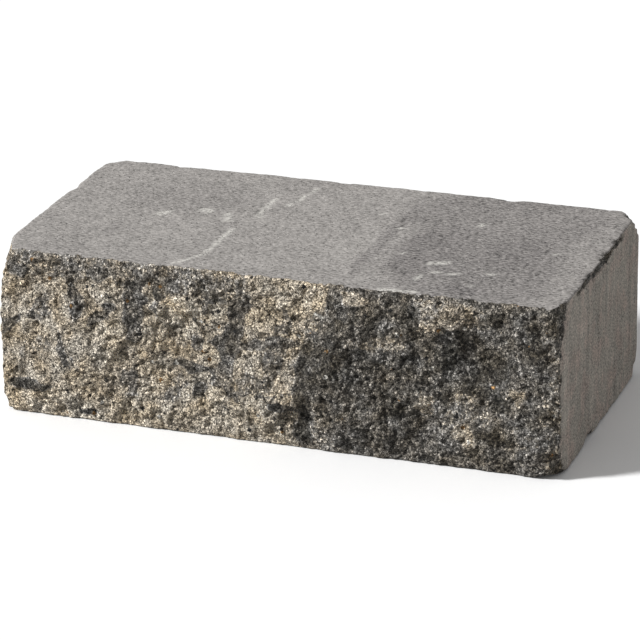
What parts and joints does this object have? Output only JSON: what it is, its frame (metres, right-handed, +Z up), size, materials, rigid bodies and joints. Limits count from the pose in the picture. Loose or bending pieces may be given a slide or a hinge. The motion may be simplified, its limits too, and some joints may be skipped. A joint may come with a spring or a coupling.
{
  "type": "wall block",
  "caption": "Solid split-face concrete wall block with a rough broken front, flat bed faces and plain moulded ends and back, for laying dry or in mortar in courses.",
  "frame": {"origin": "middle of the underside, midway between the ends and midway between the split line and the back", "axes": "+X along the wall, -Y out of the broken front face, +Z up through the course height"},
  "size_m": [0.333, 0.1707, 0.1],
  "materials": {
    "concrete": "dry-cast grey concrete, smooth where moulded, rough beige and charcoal grain where split"
  },
  "bodies": {
    "root": {"wall_block": "concrete"}
  },
  "joints": []
}
